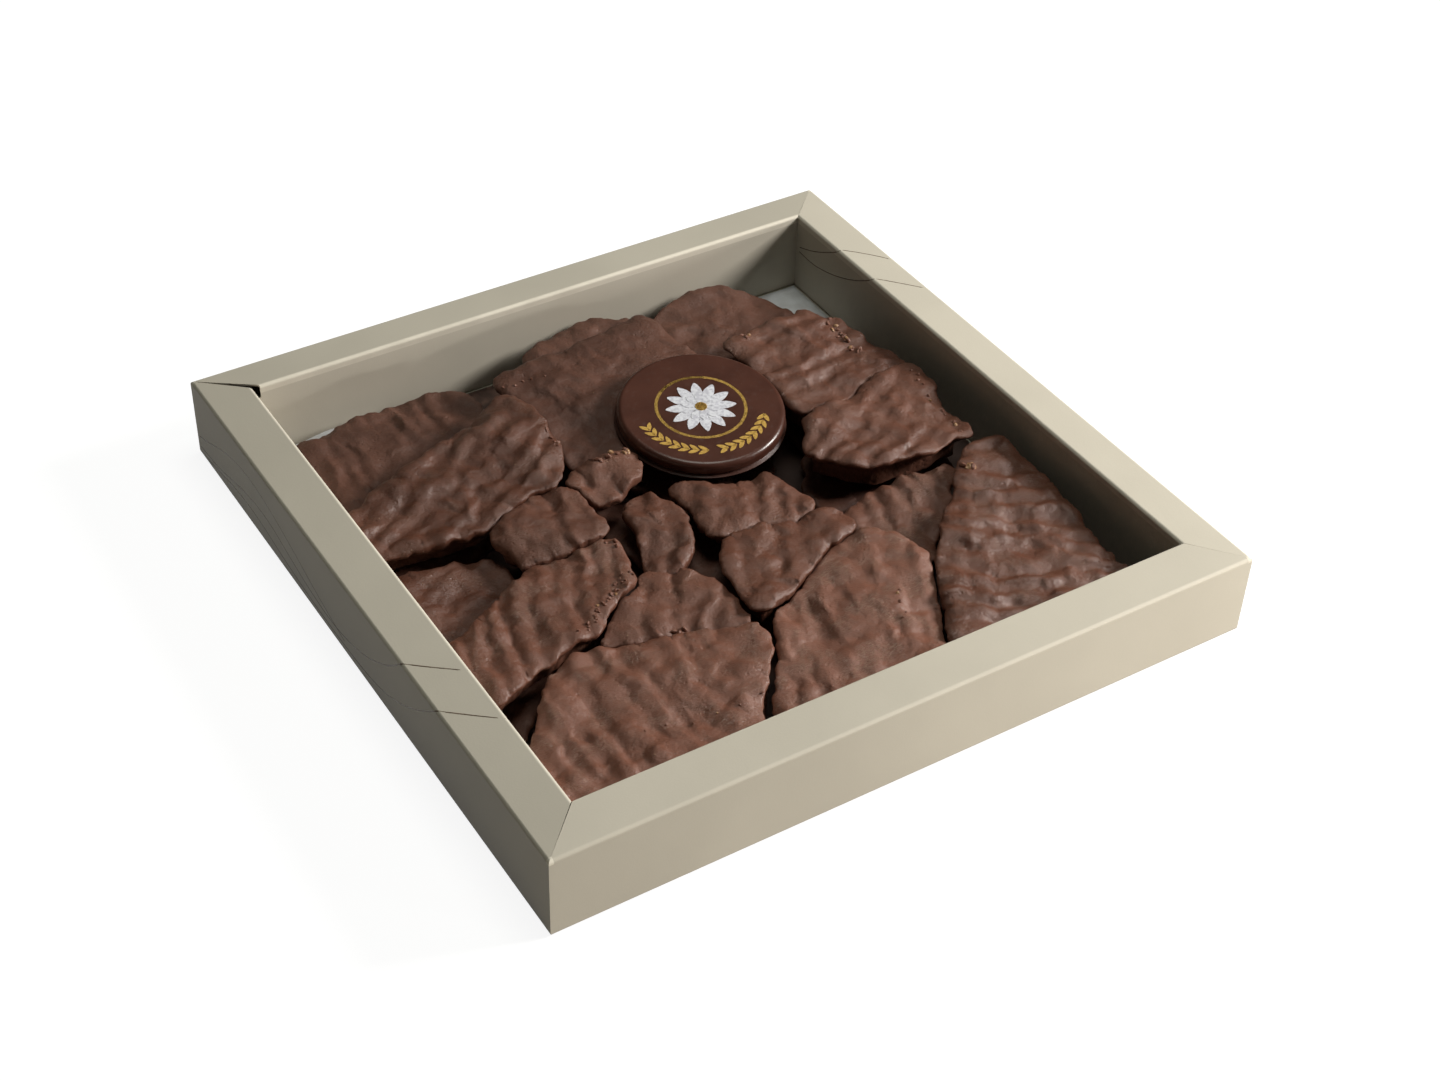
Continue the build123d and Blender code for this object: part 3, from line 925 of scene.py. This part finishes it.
def addPrintedLines():
    ink = printMaterial()
    for name, places in printedLines.items():
        path = bpy.data.curves.new(name, "CURVE")
        path.dimensions = "3D"
        path.bevel_depth = printed["radius"]
        path.bevel_resolution = 1
        path.resolution_u = 6
        spline = path.splines.new("NURBS")
        spline.points.add(len(places) - 1)
        for point, place in zip(spline.points, places):
            point.co = (*(value * mm for value in place), 1)
        spline.order_u = 3
        spline.use_endpoint_u = True
        line = bpy.data.objects.new("printed_line_" + name, path)
        bpy.context.collection.objects.link(line)
        alone(line)
        bpy.ops.object.convert(target="MESH")
        pressFlat(line)
        line.data.materials.append(ink)
        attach(line, "carton")


addPrintedLines()
print("printed lines ready")


# medallion: the sizes of its design. Petals are given as count, length, width and distance from the
# middle, and a sprig's leaves by the angle of the first one and the step to the next.

medallion = {
    "dark": (0.058, 0.0205, 0.0135),
    "light": (0.076, 0.028, 0.0185),
    "speck": (0.22, 0.13, 0.09),
    "facing": -20,
    "ring": 12.6 * mm,
    "ringWidth": 0.85 * mm,
    "petals": [(12, 7.6 * mm, 3.1 * mm, 6.0 * mm), (10, 4.6 * mm, 2.2 * mm, 3.3 * mm)],
    "bud": 1.7 * mm,
    "sprig": 17.2 * mm,
    "sprigLeaves": 8,
    "sprigStart": 9,
    "sprigStep": 8.5,
    "leaf": (3.4 * mm, 1.25 * mm),
    "leafLean": 34,
    "leafShift": 0.02 * mm,
    "ink": 0.07 * mm,
    "gold": (0.72, 0.46, 0.115),
    "goldDark": (0.46, 0.27, 0.055),
    "white": (0.74, 0.75, 0.80),
    "whiteDark": (0.52, 0.52, 0.58),
}


def medallionMaterial():
    shader = Shader("mouldedChocolate")
    tone = shader.noise(9 * mm, 3)
    specks = 1 - shader.cells(2.6 * mm).fade(0.02, 0.06)
    base = shader.mixed(tone.fade(0.3, 0.7), medallion["dark"], medallion["light"])
    scuffs = shader.noise(1.4 * mm, 4).fade(0.55, 0.75)
    return shader.finish({
        "Base Color": shader.mixed(specks * 0.5, base, medallion["speck"]),
        "Roughness": scuffs * 0.16 + 0.30,
        "Normal": shader.bumped(shader.noise(1.2 * mm, 3), 0.05 * mm, 0.5),
    })


def inkMaterial(name, colour, other, shine):
    shader = Shader(name)
    blotched = shader.noise(0.9 * mm, 4).fade(0.35, 0.68)
    return shader.finish({
        "Base Color": shader.mixed(blotched, colour, other),
        "Roughness": blotched * 0.25 + 0.3,
        "Metallic": shine,
        "Normal": shader.bumped(shader.noise(0.5 * mm, 3), 0.03 * mm, 0.6),
    })


def faceFrame():
    turn, centre, up, bottom, top, radius = discFrame()
    view = Matrix.Rotation(math.radians(medallion["facing"]), 4, "Z")
    return Matrix.Translation(centre + up * top) @ turn.to_4x4() @ view


def inkedPiece(name, ink):
    piece = bpy.context.object
    piece.name = name
    applied(piece, "SOLIDIFY", thickness=medallion["ink"], offset=1)
    piece.data.transform(faceFrame())
    piece.data.materials.clear()
    piece.data.materials.append(ink)
    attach(piece, "medallion")


def leafShape(length, width):
    bpy.ops.mesh.primitive_circle_add(vertices=20, radius=1, fill_type="NGON")
    leaf = bpy.context.object
    for vertex in leaf.data.vertices:
        pinch = 1 - 0.45 * vertex.co.x ** 2
        vertex.co = (vertex.co.x * length / 2, vertex.co.y * pinch * width / 2, 0)
    return leaf


def around(angle, radius, lift=0.0, lean=0.0):
    spin = Matrix.Rotation(math.radians(angle), 4, "Z")
    out = Matrix.Translation((radius, 0, lift))
    return spin @ out @ Matrix.Rotation(math.radians(lean), 4, "Z")


def addMedallionDesign():
    gold = inkMaterial("goldInk", medallion["gold"], medallion["goldDark"], 0.25)
    white = inkMaterial("whiteInk", medallion["white"], medallion["whiteDark"], 0.0)
    bpy.ops.mesh.primitive_circle_add(vertices=96, radius=medallion["ring"])
    bpy.ops.object.mode_set(mode="EDIT")
    bpy.ops.mesh.extrude_region()
    inner = 1 - medallion["ringWidth"] / medallion["ring"]
    bpy.ops.transform.resize(value=(inner, inner, 1))
    bpy.ops.object.mode_set(mode="OBJECT")
    inkedPiece("medallion_gold_ring", gold)
    for layer, (count, length, width, radius) in enumerate(medallion["petals"]):
        leaf = leafShape(length, width)
        lift = (layer * 1.2 + 0.2) * medallion["ink"]
        step = 360 / count
        angles = [step * index + step * layer / 2 for index in range(count)]
        repeated(leaf, [around(angle, radius, lift) for angle in angles])
        inkedPiece("medallion_white_petals_" + str(layer + 1), white)
    bud = leafShape(medallion["bud"] * 2, medallion["bud"] * 2)
    repeated(bud, [around(60 * index, 0, 2.6 * medallion["ink"]) for index in range(3)])
    inkedPiece("medallion_gold_bud", gold)
    places = []
    for side in (-1, 1):
        for index in range(medallion["sprigLeaves"]):
            angle = -90 + side * (medallion["sprigStart"] + index * medallion["sprigStep"])
            for lean in (-medallion["leafLean"], medallion["leafLean"]):
                radius = medallion["sprig"] + lean * medallion["leafShift"]
                places.append(around(angle, radius, 0, 90 * side + lean))
    repeated(leafShape(*medallion["leaf"]), places)
    inkedPiece("medallion_gold_sprigs", gold)


dress(["medallion"], medallionMaterial())
addMedallionDesign()
print("medallion ready")
